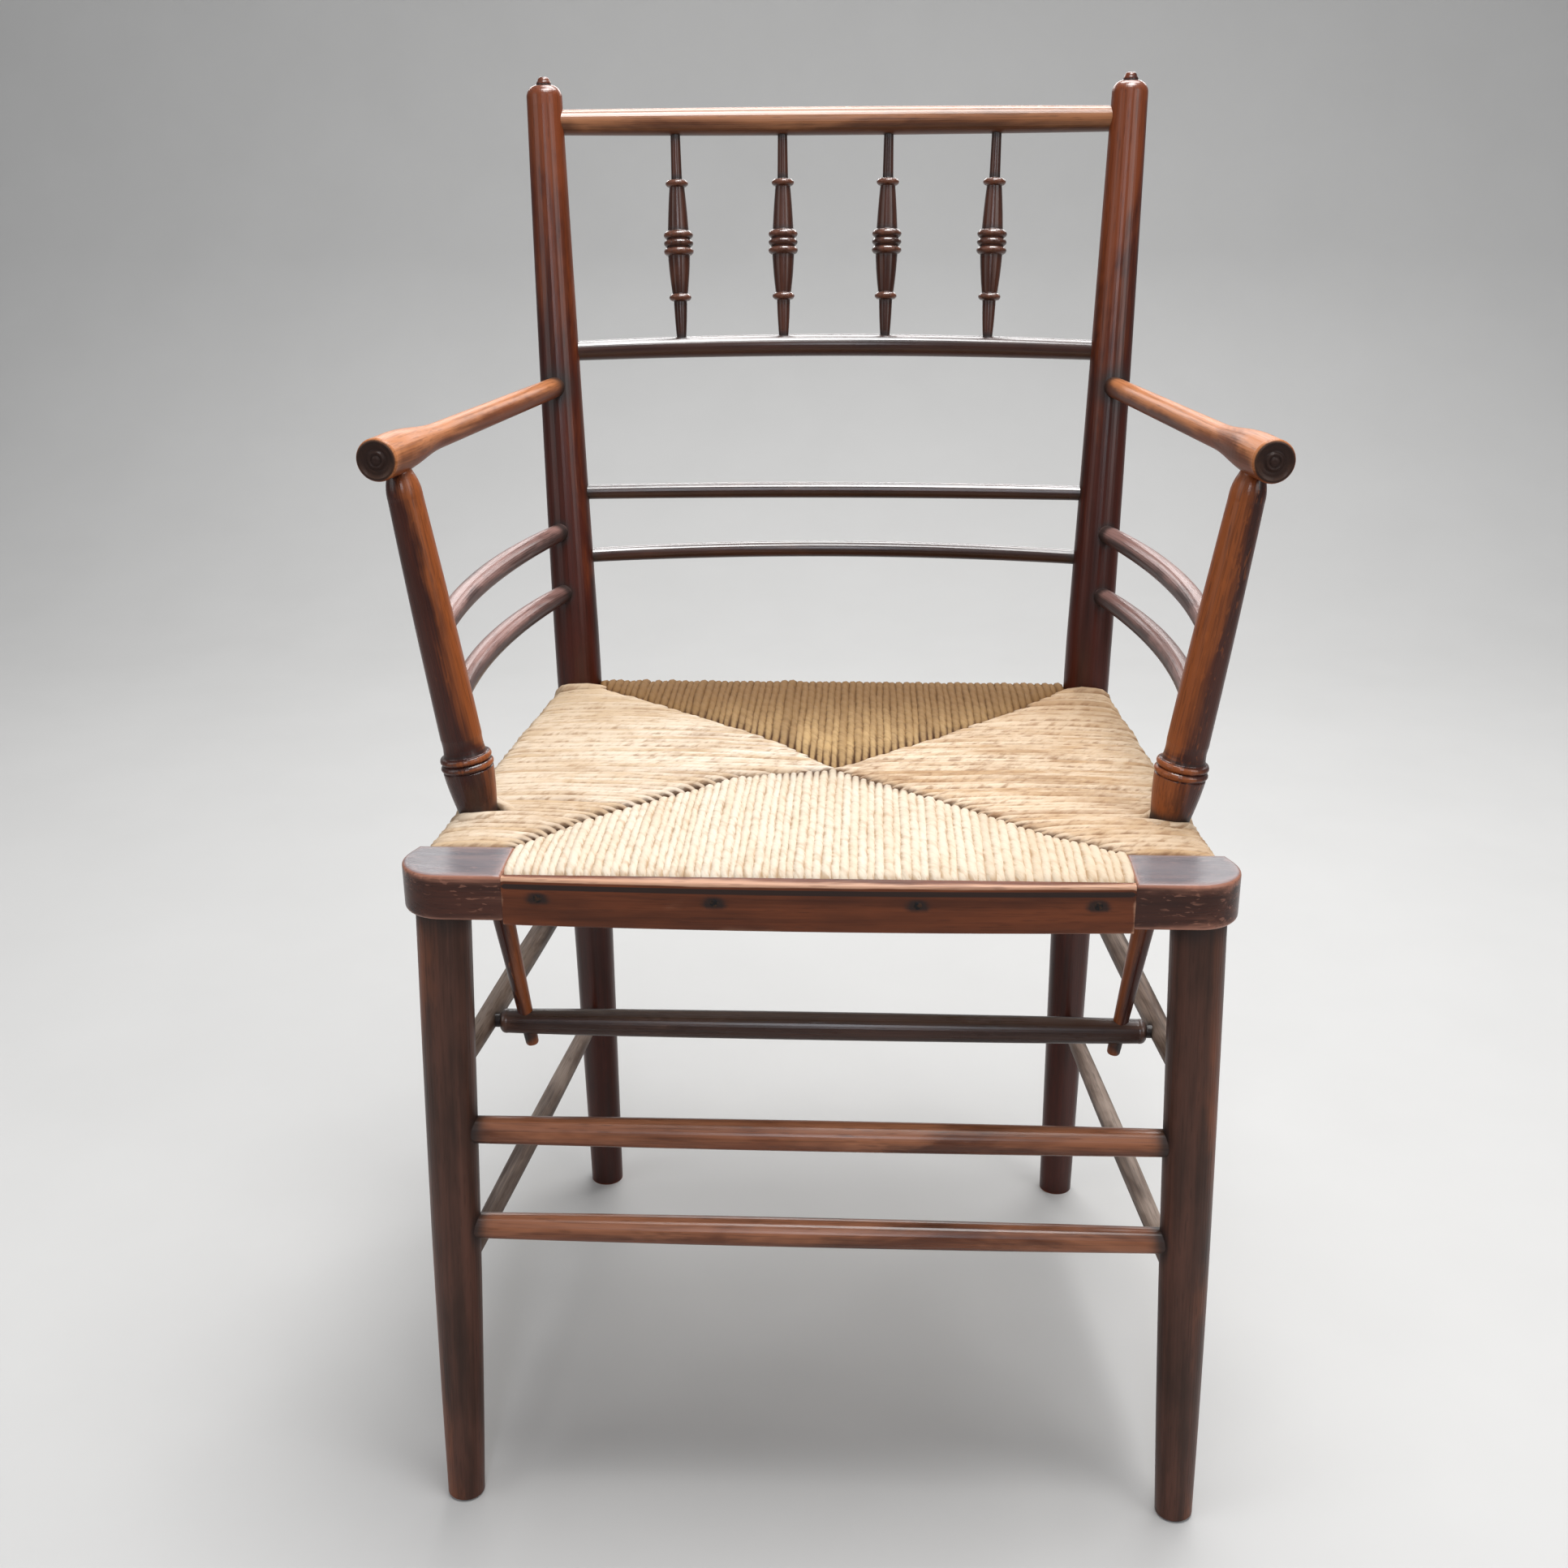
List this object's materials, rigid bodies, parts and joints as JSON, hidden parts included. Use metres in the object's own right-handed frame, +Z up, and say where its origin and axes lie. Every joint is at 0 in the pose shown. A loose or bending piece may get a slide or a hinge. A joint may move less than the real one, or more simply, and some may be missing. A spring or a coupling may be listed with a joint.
{
  "type": "rush seat armchair",
  "caption": "Turned wooden armchair with a spindle back, round arms on raking posts, bent side rods and a woven rush seat on tapered legs joined by stretchers.",
  "frame": {"origin": "on the floor, under the middle of the chair's box", "axes": "+X to the right as seen from the front, +Y to the back, +Z up"},
  "size_m": [0.5052, 0.4744, 0.8455],
  "materials": {
    "stained_wood": "worn gloss over dark stain",
    "rush": "dry woven rush",
    "nail_iron": "dull oxidised iron"
  },
  "bodies": {
    "root": {"arm_left": "stained_wood", "arm_post_left": "stained_wood", "arm_post_right": "stained_wood", "arm_right": "stained_wood", "back_post_left": "stained_wood", "back_post_right": "stained_wood", "back_rail_lower": "stained_wood", "back_rail_upper": "stained_wood", "back_spindle_1": "stained_wood", "back_spindle_2": "stained_wood", "back_spindle_3": "stained_wood", "back_spindle_4": "stained_wood", "back_stretcher": "stained_wood", "corner_block_left": "stained_wood", "corner_block_right": "stained_wood", "crest_rail": "stained_wood", "cross_stretcher": "stained_wood", "front_leg_left": "stained_wood", "front_leg_right": "stained_wood", "front_stretcher_lower": "stained_wood", "front_stretcher_upper": "stained_wood", "front_strip": "stained_wood", "seat_back_rail": "stained_wood", "seat_front_rail": "stained_wood", "seat_side_rail_left": "stained_wood", "seat_side_rail_right": "stained_wood", "side_rod_lower_left": "stained_wood", "side_rod_lower_right": "stained_wood", "side_rod_upper_left": "stained_wood", "side_rod_upper_right": "stained_wood", "side_stretcher_lower_left": "stained_wood", "side_stretcher_lower_right": "stained_wood", "side_stretcher_upper_left": "stained_wood", "side_stretcher_upper_right": "stained_wood", "spindle_rail": "stained_wood", "rush_seat": "rush", "strip_nails": "nail_iron"}
  },
  "joints": []
}
